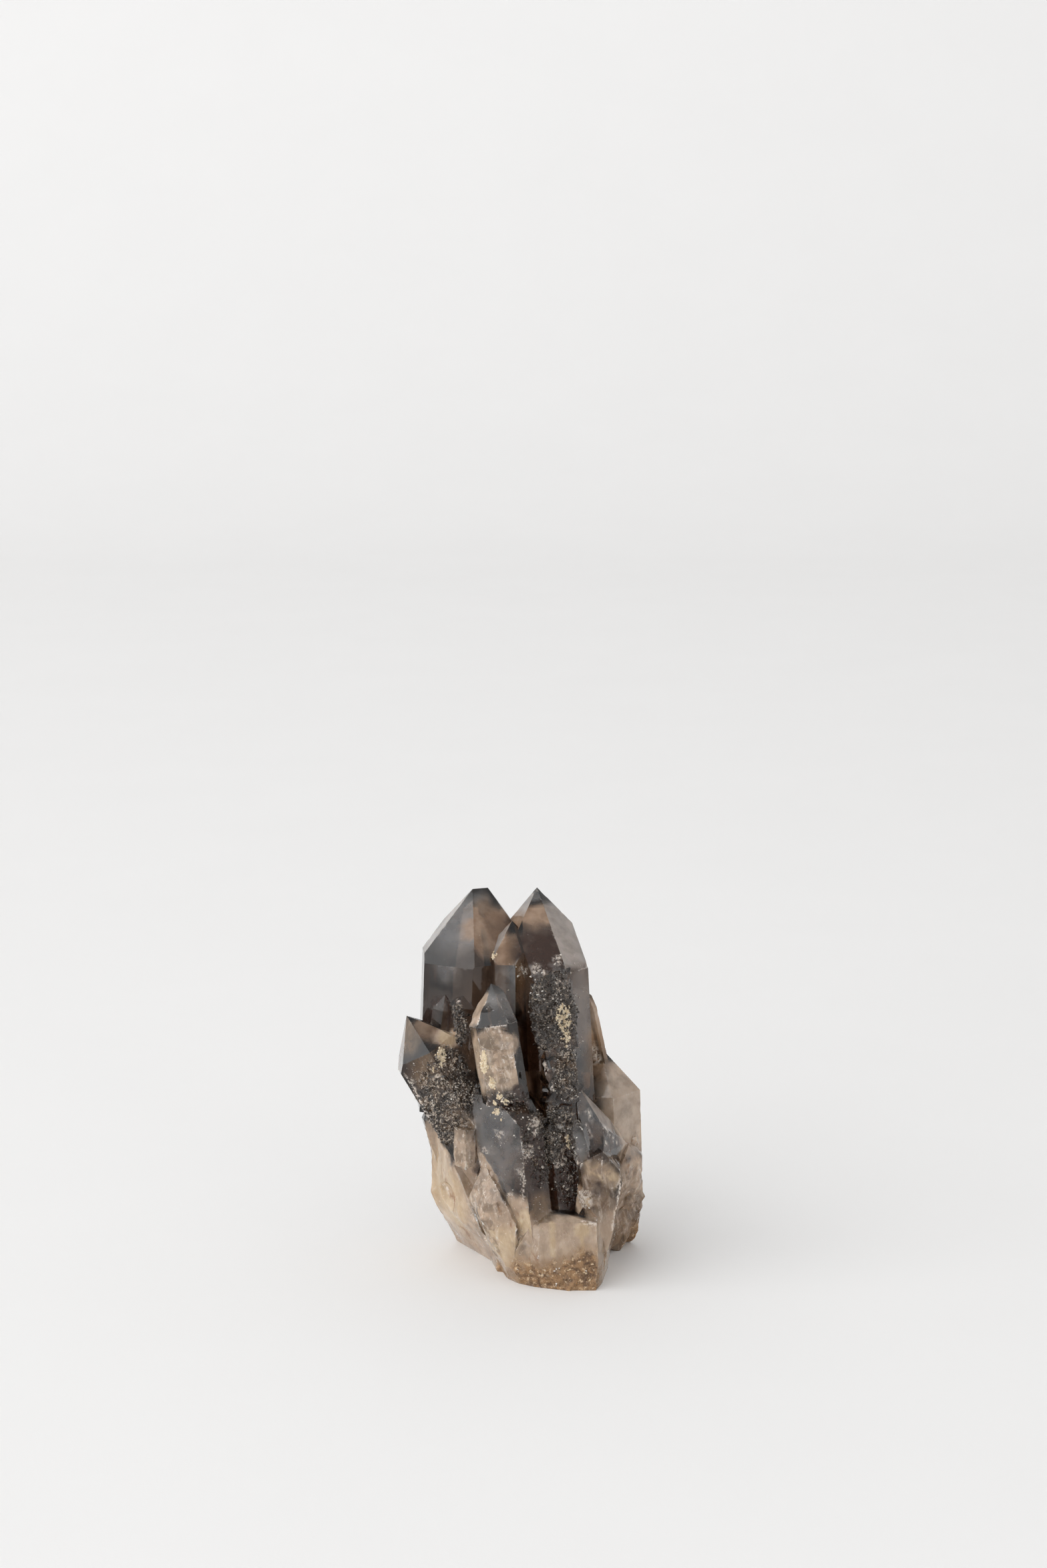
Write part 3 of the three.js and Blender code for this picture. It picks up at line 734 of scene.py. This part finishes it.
def relief(points, masks, edge):
    """How far out the surface goes at each point, and how much of it is chipped there."""
    chips = edge * ramp(fractal(points, 1.6, 3, seed=5), 0.05, 0.45)
    chips *= UNWORN_CHIPS + (1 - UNWORN_CHIPS) * masks["worn_and_painted_highlight"]
    upright = points / (1, 1, 1.6)
    flakes = 0.55 * creased(upright, 5, seed=21)
    shards = 0.45 * creased(upright, 2.6, seed=22) + 0.14 * creased(points, 1.3, seed=23)
    broken = masks["pale"] * (1 - masks["stain"])
    out = broken * (flakes + masks["cracked"] * shards - 0.2)
    out -= CHIP_DEPTH * chips
    out += masks["crust"] * (0.30 * facets(points, 0.9, seed=2) - 0.1)
    for name, (depth, level, size, octaves, seed) in LUMPY.items():
        out += masks[name] * (level + depth * fractal(points, size, octaves, seed))
    return out * ramp(points[:, 2], 0, 1.2), chips


def stone(material):
    """The dressed stone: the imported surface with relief, and its zones as attributes."""
    surface = PackedSurface()
    points, triangles = surface.points, surface.triangles
    uneven = unevenness(points)
    masks = {name: zone(name, points, uneven) for name in ZONES}
    edge = 1 - ramp(nearest(points, surface.ridges), 0.0, EDGE_BAND)
    out, chips = relief(points, masks, edge)
    moved = keep_in_box(points + out[:, None] * corner_normals(points, triangles))
    moved[points[:, 2] < ON_THE_CUT, 2] = 0
    piece = mesh_object("stone", moved, triangles, material)
    corners = triangles.ravel()
    ways = np.repeat(surface.facing, 3, axis=0)
    for name in ZONES:
        values = zone(name, points[corners], uneven[corners], ways)
        add_attribute(piece, name, "CORNER", values)
    add_attribute(piece, "edge", "POINT", edge)
    add_attribute(piece, "chip", "POINT", chips)
    piece.data.shade_smooth()
    piece.data.set_sharp_from_angle(angle=SOFT_CREASE)
    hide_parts(NODE)
    return Skin(moved, triangles), masks


def add_attribute(piece, name, domain, values):
    attribute = piece.data.attributes.new(name, "FLOAT", domain)
    attribute.data.foreach_set("value", values.astype(np.float32))


# Small things on the surface
def quartz_point():
    """A small six-sided crystal with one blunt end and one pointed: corners and triangles."""
    angles = [math.radians(60 * i) for i in range(6)]
    ring = [(math.cos(a), math.sin(a)) for a in angles]
    corners = [(x, y, -1.0) for x, y in ring] + [(x, y, 1.0) for x, y in ring] + [(0, 0, 2.1)]
    triangles = [(0, i + 1, i) for i in range(1, 5)]
    for i in range(6):
        j = (i + 1) % 6
        triangles += [(i, j, j + 6), (i, j + 6, i + 6), (i + 6, j + 6, 12)]
    return np.array(corners), np.array(triangles)


def lump():
    """A ball of twenty faces: corners and triangles."""
    mesh = bmesh.new()
    bmesh.ops.create_icosphere(mesh, subdivisions=1, radius=1)
    corners = np.array([v.co for v in mesh.verts])
    triangles = np.array([[v.index for v in face.verts] for face in mesh.faces])
    mesh.free()
    return corners, triangles


class Skin:
    """The dressed surface, as something that small things are strewn on."""

    def __init__(self, points, triangles):
        self.points = points
        self.triangles = triangles
        cross = square_to(points, triangles)
        self.area = np.linalg.norm(cross, axis=1) / 2
        self.normals = unit(cross)

    def spots(self, weight, count, random):
        """Places and directions on the surface, as many to an area as the weight of its corners says."""
        chance = self.area * weight[self.triangles].mean(axis=1)
        chosen = random.choice(len(chance), count, p=chance / chance.sum())
        shares = random.dirichlet((1, 1, 1), count)
        places = (self.points[self.triangles[chosen]] * shares[:, :, None]).sum(axis=1)
        return places, self.normals[chosen]


# How much single corners of the strewn shapes are moved out or in, as a share
LUMPINESS = 0.25


def strewn(name, shape, on, sizes, material, random, flatness=1.0, tilt=0.5):
    """Copies of a shape in one piece, at places and ways on the surface, each turned at random."""
    corners, triangles = shape
    places, ways = on
    count = len(places)
    ways = unit(ways + tilt * random.normal(size=(count, 3)))
    right = unit(np.cross(ways, random.normal(size=(count, 3))))
    axes = np.stack([right, np.cross(ways, right), ways * flatness], axis=1)
    grown = corners[None] * (1 + LUMPINESS * random.uniform(-1, 1, (count, len(corners), 1)))
    points = np.einsum("nvk,nkd->nvd", grown * sizes[:, None, None], axes) + places[:, None]
    numbers = triangles[None] + len(corners) * np.arange(count)[:, None, None]
    piece = mesh_object(name, keep_in_box(points.reshape(-1, 3)), numbers.reshape(-1, 3), material)
    add_attribute(piece, "tone", "POINT", np.repeat(random.uniform(0, 1, count), len(corners)))
    dusty = zone("dusty", places, unevenness(places))
    add_attribute(piece, "dusty", "POINT", np.repeat(dusty, len(corners)))


def mostly_small(smallest, largest, power, count, random):
    """Sizes between two limits. A higher power gives more small ones."""
    return smallest + (largest - smallest) * random.uniform(0, 1, count) ** power


# How many there are of each, and how high above the cut they begin
DRUSE_COUNT, CLAY_COUNT, GRAIN_COUNT = 5200, 700, 1200
LOWEST = 0.8
SEED = 7


def strew_all(skin, masks):
    """The druse, the clay crumbs and the pale grains."""
    random = np.random.default_rng(SEED)
    above = ramp(skin.points[:, 2], LOWEST, LOWEST + 1)
    on = skin.spots(above * masks["crust"] ** 2, DRUSE_COUNT, random)
    sizes = mostly_small(0.07, 0.29, 2, DRUSE_COUNT, random)
    strewn("druse_crystals", quartz_point(), on, sizes, druse_material(), random, tilt=0.9)
    on = skin.spots(above * masks["cream"] ** 2, CLAY_COUNT, random)
    sizes = mostly_small(0.08, 0.32, 1, CLAY_COUNT, random)
    strewn("clay_crumbs", lump(), on, sizes, clay_material(), random, flatness=0.6)
    clumps = ramp(fractal(skin.points, 2.5, 3, seed=31), 0.0, 0.4)
    strewn_on = masks["crust"] + masks["dusty"] + 0.1 * masks["grey_bloom_and_painted_sheen"] + 0.2 * masks["stain"]
    weight = above * (clumps * strewn_on + masks["crumbly"])
    on = skin.spots(weight, GRAIN_COUNT, random)
    sizes = mostly_small(0.04, 0.18, 3, GRAIN_COUNT, random)
    strewn("pale_grains", quartz_point(), on, sizes, grain_material(), random, tilt=1.2)


# Materials
class Graph:
    """Short calls for the nodes of a new material or world."""

    def __init__(self, name, kind=bpy.data.materials):
        self.owner = kind.new(name)
        self.owner.use_nodes = True
        self.tree = self.owner.node_tree
        self.tree.nodes.clear()
        self.coordinates = self.add("TexCoord").outputs
        self.places = self.coordinates["Object"]

    def add(self, kind, inputs=None, **settings):
        """A node whose inputs are plain values or other nodes' outputs."""
        node = self.tree.nodes.new("ShaderNode" + kind)
        for name, value in settings.items():
            setattr(node, name, value)
        for socket, value in (inputs or {}).items():
            if isinstance(value, bpy.types.NodeSocket):
                self.tree.links.new(value, node.inputs[socket])
            else:
                node.inputs[socket].default_value = value
        return node

    def result(self, *node, **settings):
        return self.add(*node, **settings).outputs[0]

    def attribute(self, name):
        return self.add("Attribute", attribute_name=name).outputs["Fac"]

    def math(self, operation, a, b, clamp=False):
        return self.result("Math", {0: a, 1: b}, operation=operation, use_clamp=clamp)

    def times(self, product, *factors):
        for factor in factors:
            product = self.math("MULTIPLY", product, factor)
        return product

    def ramp(self, value, start, end, low=0.0, high=1.0):
        sockets = {"Value": value, "From Min": start, "From Max": end, "To Min": low, "To Max": high}
        return self.result("MapRange", sockets, interpolation_type="SMOOTHSTEP")

    def vector(self, operation, a, b):
        return self.result("VectorMath", {0: a, 1: b}, operation=operation)

    def stretched(self, stretch, turn):
        """Places turned by angles in degrees, then multiplied along each axis."""
        turn = tuple(math.radians(angle) for angle in turn)
        sockets = {"Vector": self.places, "Rotation": turn}
        turned = self.result("VectorRotate", sockets, rotation_type="EULER_XYZ")
        return self.vector("MULTIPLY", turned, stretch)

    def wavy(self, places, size, amount):
        """Places moved about a little, which bends what is drawn on them."""
        sockets = {"Vector": places, "Scale": 1 / (size * MM), "Detail": 3.0}
        noise = self.add("TexNoise", sockets).outputs["Color"]
        shift = self.vector("SUBTRACT", noise, (0.5,) * 3)
        return self.vector("ADD", places, self.vector("MULTIPLY", shift, (amount * MM,) * 3))

    def noise(self, size, detail=3.0, roughness=0.55, distortion=0.0, places=None):
        sockets = {
            "Vector": places or self.places,
            "Scale": 1 / (size * MM),
            "Detail": detail,
            "Roughness": roughness,
            "Distortion": distortion,
        }
        return self.add("TexNoise", sockets).outputs["Fac"]

    def cells(self, size, places, output="Distance", feature="F1"):
        sockets = {"Vector": places, "Scale": 1 / (size * MM)}
        return self.add("TexVoronoi", sockets, feature=feature).outputs[output]

    def mix(self, factor, a, b):
        """One colour changed to another, each a plain one or a node's output."""
        colours = {6 + i: (*c, 1) if isinstance(c, tuple) else c for i, c in enumerate((a, b))}
        return self.add("Mix", {0: factor, **colours}, data_type="RGBA").outputs[2]

    def blend(self, factor, a, b):
        return self.result("Mix", {0: factor, 2: a, 3: b}, data_type="FLOAT")

    def bump(self, height, distance):
        return self.result("Bump", {"Height": height, "Distance": distance * MM})

    def finish(self, inputs, volume=None):
        ends = {"Surface": self.result("BsdfPrincipled", inputs)}
        if volume:
            ends["Volume"] = self.result("VolumeAbsorption", volume)
        self.add("OutputMaterial", ends)
        return self.owner


class Layers(Graph):
    """A material built up in layers, each with a colour and with how clear and how rough it is."""

    def start(self, colour, clear, rough):
        self.colour, self.clear, self.rough = colour, clear, rough

    def lay(self, share, colour, clear=None, rough=None):
        """Covers that share of the surface, and changes only the looks that are given."""
        self.colour = self.mix(share, self.colour, colour)
        if clear is not None:
            self.clear = self.blend(share, self.clear, clear)
        if rough is not None:
            self.rough = self.blend(share, self.rough, rough)


QUARTZ_IOR = 1.54
CLEAREST = 0.97

# Colours. Where there are two, a pattern goes from the darker to the paler one.
SMOKE = (0.085, 0.068, 0.060), (0.17, 0.135, 0.115)
TINGE = (0.42, 0.24, 0.13)
SMUDGE = (0.50, 0.375, 0.27)
FROST = (0.90, 0.79, 0.68)
CRACK = (0.95, 0.88, 0.80)
# Pale nicks, partly a painted highlight along the edges
NICK_AND_PAINTED_HIGHLIGHT = (0.93, 0.87, 0.80)
# Pale veins, and painted highlights along edges
VEIN_AND_PAINTED_HIGHLIGHT = (0.66, 0.55, 0.46), (0.97, 0.90, 0.82)
NIGHT = (0.034, 0.013, 0.007)
CRUST = (0.008, 0.006, 0.005), (0.06, 0.045, 0.035)
CRUST_BROWN = (0.10, 0.062, 0.036)
CRUST_FLECK = (0.38, 0.30, 0.235), (0.74, 0.64, 0.53)
IRON = (0.48, 0.30, 0.16)
RUST = (0.095, 0.045, 0.018), (0.36, 0.212, 0.10)
RUST_FLECK = (0.82, 0.64, 0.43)
CLAY = (0.50, 0.38, 0.23), (0.84, 0.73, 0.53)
CLAY_CRUMB = (0.56, 0.42, 0.26), (0.82, 0.72, 0.56)
CLAY_DIRT = (0.34, 0.25, 0.16)
CRUMBS = (0.30, 0.24, 0.20), (0.78, 0.69, 0.61)
DUST = (0.86, 0.81, 0.75)
DUSTY_CRYSTAL = (0.46, 0.41, 0.36)
GRAIN = (0.42, 0.36, 0.30), (0.80, 0.77, 0.72)
PAPER = (0.865, 0.86, 0.855), (0.885, 0.88, 0.875)

# Clouded stone of each zone: its deeper and its paler colour, and how much light it lets through
HAZES = {
    # A greyish bloom, partly a painted reflection of the room on these faces
    "grey_bloom_and_painted_sheen": ((0.35, 0.34, 0.345), (0.48, 0.455, 0.435), 0.76),
    # Brown stone, partly a painted glow of light shining through
    "amber_and_painted_glow": ((0.40, 0.255, 0.16), (0.66, 0.475, 0.34), 0.65),
    # Painted reflection: a pale colour for faces that catch the room at a grazing angle
    "light": ((0.54, 0.50, 0.47), (0.68, 0.63, 0.59), 0.58),
    "tan": ((0.58, 0.45, 0.345), (0.74, 0.60, 0.48), 0.36),
    "pale": ((0.51, 0.37, 0.26), (0.83, 0.65, 0.49), 0.44),
    "brown": ((0.17, 0.10, 0.05), (0.50, 0.34, 0.205), 0.70),
    "milky": ((0.56, 0.40, 0.235), (0.86, 0.69, 0.49), 0.38),
}
BROKEN_HAZES = ("pale", "milky", "brown")

# How patterns run over the stone: the numbers that multiply each axis, after turns about them in degrees
UPRIGHT = (1.5, 1.5, 0.6), (0, 0, 0)
STEEP = (1.6, 1.6, 0.35), (0, 12, 0)
SLANTING = (1.4, 1.4, 0.45), (0, -40, 0)
LEVEL = (0.25, 0.25, 4), (0, 0, 0)


def crust_colour(g, dusty):
    """Black and dark brown, with irregular pale flecks, more of them where it is dusty."""
    dark = g.mix(g.noise(0.8, 4), *CRUST)
    dark = g.mix(g.times(dusty, g.ramp(g.noise(3, 3), 0.4, 0.7)), dark, CRUST_BROWN)
    dusting = g.math("ADD", g.ramp(g.noise(3.5, 3), 0.36, 0.64, 0.2, 0.8), dusty, clamp=True)
    flecks = g.times(g.ramp(g.noise(1.3, 5, 0.72, 2.0), 0.53, 0.58), dusting)
    return g.mix(flecks, dark, g.mix(g.noise(2, 2), *CRUST_FLECK))


def lay_hazes(g, zones, upright):
    """Clouded stone, in streaks and flat bits of light where it is broken, with painted sheen and painted glow
    on some faces.
    """
    clouds = g.ramp(g.noise(6, 4, 0.5), 0.34, 0.68)
    streaks = g.ramp(g.noise(4.5, 8, 0.74, 0.3, upright), 0.36, 0.64, 0.0, 0.55)
    broken_light = g.math("ADD", streaks, g.times(g.cells(3.0, upright, "Color"), 0.45))
    patches = g.ramp(g.noise(3, 4, 0.6), 0.25, 0.6, 0.82, 1.0)
    for name, (deep, paler, clear) in HAZES.items():
        pattern = broken_light if name in BROKEN_HAZES else clouds
        g.lay(g.times(zones[name], patches), g.mix(pattern, deep, paler), clear)


def lay_breaks(g, zones, upright, steep):
    """Brown seams, and smudges and frost where the stone is full of cracks."""
    seams = g.ramp(g.noise(2.6, 5, 0.6, 0.8, upright), 0.5, 0.68)
    g.lay(g.times(zones["tinged"], seams), TINGE)
    shattered = g.times(zones["cracked"], g.math("ADD", zones["pale"], zones["brown"], clamp=True))
    smudges = g.ramp(g.noise(2.2, 4, 0.6, 0.3), 0.42, 0.62)
    g.lay(g.times(smudges, shattered), SMUDGE, 0.6)
    frost = g.ramp(g.noise(1.6, 5, 0.6, 0, steep), 0.5, 0.7, 0.0, 0.5)
    g.lay(g.times(frost, shattered), FROST, 0.3)


def lay_cracks(g, zones, steep):
    """Fine pale cracks that run steeply or at a slant, and are broken off here and there."""
    slanting = g.wavy(g.stretched(*SLANTING), 1.5, 1.2)
    off_steep = g.cells(3.2, steep, feature="DISTANCE_TO_EDGE")
    off_slanting = g.cells(2.2, slanting, feature="DISTANCE_TO_EDGE")
    lines = g.ramp(g.math("MINIMUM", off_steep, off_slanting), 0.03, 0.0, 0.0, 0.65)
    bits = g.ramp(g.noise(1.5, 3), 0.5, 0.62)
    cracked = g.math("ADD", zones["cracked"], 0.2, clamp=True)
    g.lay(g.times(lines, bits, cracked, zones["pale"]), CRACK, 0.2)


def lay_nicks_and_highlights(g, zones):
    """Pale nicked marks along the edges, partly painted highlights along them."""
    on_edge = g.ramp(g.attribute("edge"), 0.72, 1.0)
    nicks_and_highlights = g.ramp(g.noise(2.0, 5, 0.65), 0.46, 0.66, 0.0, 0.8)
    # Painted highlight along the ridges, mixed with pale nicks
    g.lay(g.times(zones["worn_and_painted_highlight"], on_edge, nicks_and_highlights), NICK_AND_PAINTED_HIGHLIGHT, 0.3)


def lay_crust(g, zones):
    """The dark crust, with holes in it and none on white stone or its painted highlights, and the black stone.
    """
    holes = g.ramp(g.noise(1.2, 4), 0.30, 0.5)
    off_milky = g.ramp(zones["milky"], 0.3, 0.7, 1.0, 0.15)
    off_white = g.ramp(zones["white"], 0.2, 0.5, 1.0, 0.0)
    share = g.times(zones["crust"], holes, off_milky, off_white)
    g.lay(share, crust_colour(g, zones["dusty"]), 0.15, 0.28)
    uneven = g.ramp(g.noise(3, 4), 0.2, 0.5, 0.6, 1.0)
    g.lay(g.times(zones["dark"], uneven), NIGHT, 0.3)


def lay_stain(g, zones, upright):
    """A brown tint that turns to grainy rust; returns how much is rust."""
    g.lay(g.ramp(zones["stain"], 0.02, 0.8, 0.0, 0.8), IRON)
    rust = g.mix(g.ramp(g.noise(1.6, 8, 0.75), 0.38, 0.62), *RUST)
    rust = g.mix(g.ramp(g.noise(0.9, 6, 0.75), 0.54, 0.63, 0.0, 0.8), rust, RUST_FLECK)
    uneven = g.times(g.math("SUBTRACT", g.noise(2.2, 5, places=upright), 0.5), 1.3)
    share = g.ramp(g.math("ADD", zones["stain"], uneven), 0.45, 0.95)
    g.lay(share, rust, 0.08, 0.6)
    return share


def lay_crumbs(g, zones):
    """Cream clay, white chips and veins with painted edge highlights, and whitish crumbs; returns how much is
    crumbs.
    """
    height = g.math("ADD", g.times(g.noise(0.9, 5, 0.65), 0.8), g.times(zones["cream"], 0.6))
    clay = g.times(zones["cream"], g.ramp(height, 0.72, 0.9))
    g.lay(clay, g.mix(g.noise(0.6, 4), *CLAY), 0.0, 0.8)
    white = g.times(zones["white"], g.ramp(g.noise(0.7, 4, 0.6), 0.38, 0.56))
    g.lay(white, g.mix(g.noise(0.6, 3), *VEIN_AND_PAINTED_HIGHLIGHT), 0.2)
    crumbs = g.times(zones["crumbly"], g.ramp(g.noise(0.7, 5, 0.65), 0.42, 0.55))
    g.lay(crumbs, g.mix(g.noise(0.5, 3), *CRUMBS), 0.1, 0.6)
    return crumbs


def lay_dust(g, zones, rusted):
    """Pale chips and specks, few of them on the rust."""
    chips = g.times(g.attribute("chip"), g.ramp(g.noise(0.5, 3), 0.35, 0.6))
    specks = g.times(g.ramp(g.noise(0.5, 3, 0.7, 0.8), 0.64, 0.72), g.ramp(g.noise(4, 3), 0.45, 0.62))
    specks = g.times(specks, g.math("ADD", zones["worn_and_painted_highlight"], 0.25, clamp=True))
    share = g.times(g.math("MAXIMUM", chips, specks), g.ramp(rusted, 0.0, 0.5, 1.0, 0.2))
    g.lay(share, DUST, 0.2, 0.5)


def quartz_material():
    """Clear to smoky quartz, milky and stained where it is broken, with dark and cream crusts, and painted
    sheen, glow, light and edge highlights on some faces.
    """
    g = Layers("quartz")
    zones = {name: g.attribute(name) for name in ZONES}
    upright = g.stretched(*UPRIGHT)
    steep = g.wavy(g.stretched(*STEEP), 2.0, 1.4)
    ragged = g.times(g.math("SUBTRACT", g.noise(1.6, 6, 0.7, 0.4, steep), 0.5), 0.5)
    zones["pale"] = g.ramp(g.math("ADD", zones["pale"], ragged), 0.1, 0.9)
    rough = g.blend(zones["pale"], 0.04, g.ramp(g.noise(1.5, 3), 0.3, 0.7, 0.05, 0.2))
    rough = g.blend(zones["grey_bloom_and_painted_sheen"], rough, 0.14)
    g.start(g.mix(g.ramp(g.noise(7, 4), 0.35, 0.7), *SMOKE), CLEAREST, rough)
    lay_hazes(g, zones, upright)
    lay_breaks(g, zones, upright, steep)
    lay_cracks(g, zones, steep)
    lay_nicks_and_highlights(g, zones)
    lay_crust(g, zones)
    rusted = lay_stain(g, zones, upright)
    crumbs = lay_crumbs(g, zones)
    lay_dust(g, zones, rusted)

    rubble = zones["crust"]
    for share in (rusted, zones["cream"], crumbs):
        rubble = g.math("MAXIMUM", rubble, share)
    growth_lines = g.times(g.noise(2.5, 3, 0.6, 0.0, g.stretched(*LEVEL)), 0.12)
    inputs = {
        "Base Color": g.colour,
        "Transmission Weight": g.clear,
        "Roughness": g.rough,
        "IOR": QUARTZ_IOR,
        "Subsurface Weight": 0.6,
        "Subsurface Radius": (1.0, 0.75, 0.55),
        "Subsurface Scale": 0.8 * MM,
        "Normal": g.bump(g.blend(rubble, growth_lines, g.noise(0.35, 3)), 0.12),
    }
    return g.finish(inputs, volume={"Color": (0.7, 0.6, 0.5, 1), "Density": 150})


def druse_material():
    """Tiny dark crystals, pale with dust here and there."""
    g = Graph("druse")
    colour = crust_colour(g, g.attribute("dusty"))
    inputs = {
        "Base Color": g.mix(g.ramp(g.attribute("tone"), 0.95, 1.0), colour, DUSTY_CRYSTAL),
        "Transmission Weight": g.ramp(g.noise(0.8, 2), 0.3, 0.7, 0.05, 0.35),
        "Roughness": g.ramp(g.noise(0.5, 2), 0.3, 0.7, 0.1, 0.3),
        "IOR": QUARTZ_IOR,
    }
    return g.finish(inputs)


def clay_material():
    """Dry cream and yellowish clay."""
    g = Graph("clay")
    colour = g.mix(g.attribute("tone"), *CLAY_CRUMB)
    colour = g.mix(g.ramp(g.noise(0.3, 3), 0.5, 0.75), colour, CLAY_DIRT)
    inputs = {"Base Color": colour, "Roughness": 0.8, "Normal": g.bump(g.noise(0.12, 2), 0.03)}
    return g.finish(inputs)


def grain_material():
    """Pale grains stuck to the faces."""
    g = Graph("speckle")
    rough = g.ramp(g.noise(0.3, 2), 0.3, 0.7, 0.3, 0.7)
    return g.finish({"Base Color": g.mix(g.attribute("tone"), *GRAIN), "Roughness": rough})


def floor_material():
    """Matt pale paper with a barely visible tooth."""
    g = Graph("paper")
    colour = g.mix(g.noise(60, 2), *PAPER)
    inputs = {"Base Color": colour, "Roughness": 0.85, "Normal": g.bump(g.noise(0.6, 3), 0.02)}
    return g.finish(inputs)


# The stage
FLOOR_HALF_WIDTH = 4000
FLOOR_FRONT, FLOOR_BEND, FLOOR_TOP = -3000, 1100, 3000
BEND_RADIUS = 700
BEND_STEPS = 24

# How bright the room is on the right and on the window's side, and the share of that overhead
ROOM_RIGHT, ROOM_LEFT = 1.08, 1.34
OVERHEAD = 0.6


def stage():
    """A seamless sheet that lies flat and rises behind the specimen."""
    profile = [(FLOOR_FRONT, 0.0)]
    for step in range(BEND_STEPS + 1):
        angle = math.radians(90) * step / BEND_STEPS
        y = FLOOR_BEND + BEND_RADIUS * math.sin(angle)
        profile.append((y, BEND_RADIUS * (1 - math.cos(angle))))
    profile.append((FLOOR_BEND + BEND_RADIUS, FLOOR_TOP))
    points = [(x, y, z) for y, z in profile for x in (-FLOOR_HALF_WIDTH, FLOOR_HALF_WIDTH)]
    faces = [(2 * i, 2 * i + 1, 2 * i + 3, 2 * i + 2) for i in range(len(profile) - 1)]
    mesh = bpy.data.meshes.new("sheet")
    mesh.from_pydata(np.array(points) * MM, [], faces)
    mesh.materials.append(floor_material())
    mesh.shade_smooth()
    sheet = bpy.data.objects.new("sheet", mesh)
    bpy.context.scene.collection.objects.link(sheet)


def soft_light(name, at, aim, size, watts):
    """A square area light that looks at a point."""
    data = bpy.data.lights.new(name, "AREA")
    data.size = size * MM
    data.energy = watts
    light = bpy.data.objects.new(name, data)
    bpy.context.scene.collection.objects.link(light)
    light.location = np.array(at) * MM
    direction = Vector(aim) - Vector(at)
    light.rotation_euler = direction.to_track_quat("-Z", "Y").to_euler()


def surroundings():
    """Soft even light from the room, brighter on the window's side."""
    g = Graph("room", bpy.data.worlds)
    way = g.add("SeparateXYZ", {0: g.coordinates["Generated"]}).outputs
    sides = {"From Min": 1, "From Max": -1, "To Min": ROOM_RIGHT, "To Max": ROOM_LEFT}
    side = g.result("MapRange", {"Value": way["X"], **sides})
    heights = {"From Min": 0, "From Max": 1, "To Min": 1, "To Max": OVERHEAD}
    height = g.result("MapRange", {"Value": way["Z"], **heights})
    g.add("OutputWorld", {"Surface": g.result("Background", {"Strength": g.times(side, height)})})
    bpy.context.scene.world = g.owner


def camera():
    """The camera, with everything in focus."""
    data = bpy.data.cameras.new("camera")
    data.lens = CAMERA_LENS
    data.sensor_width = CAMERA_SENSOR
    data.clip_start, data.clip_end = 0.01, 20
    viewer = bpy.data.objects.new("camera", data)
    bpy.context.scene.collection.objects.link(viewer)
    viewer.location = np.array(CAMERA_AT) * MM
    viewer.rotation_euler = (math.radians(90 - CAMERA_DOWN), 0, 0)
    bpy.context.scene.camera = viewer


camera()
stage()
surroundings()
soft_light("window", at=(-1500, -1050, 1050), aim=(0, 0, 30), size=2800, watts=36)
strew_all(*stone(quartz_material()))

bpy.context.scene.view_settings.view_transform = "Standard"
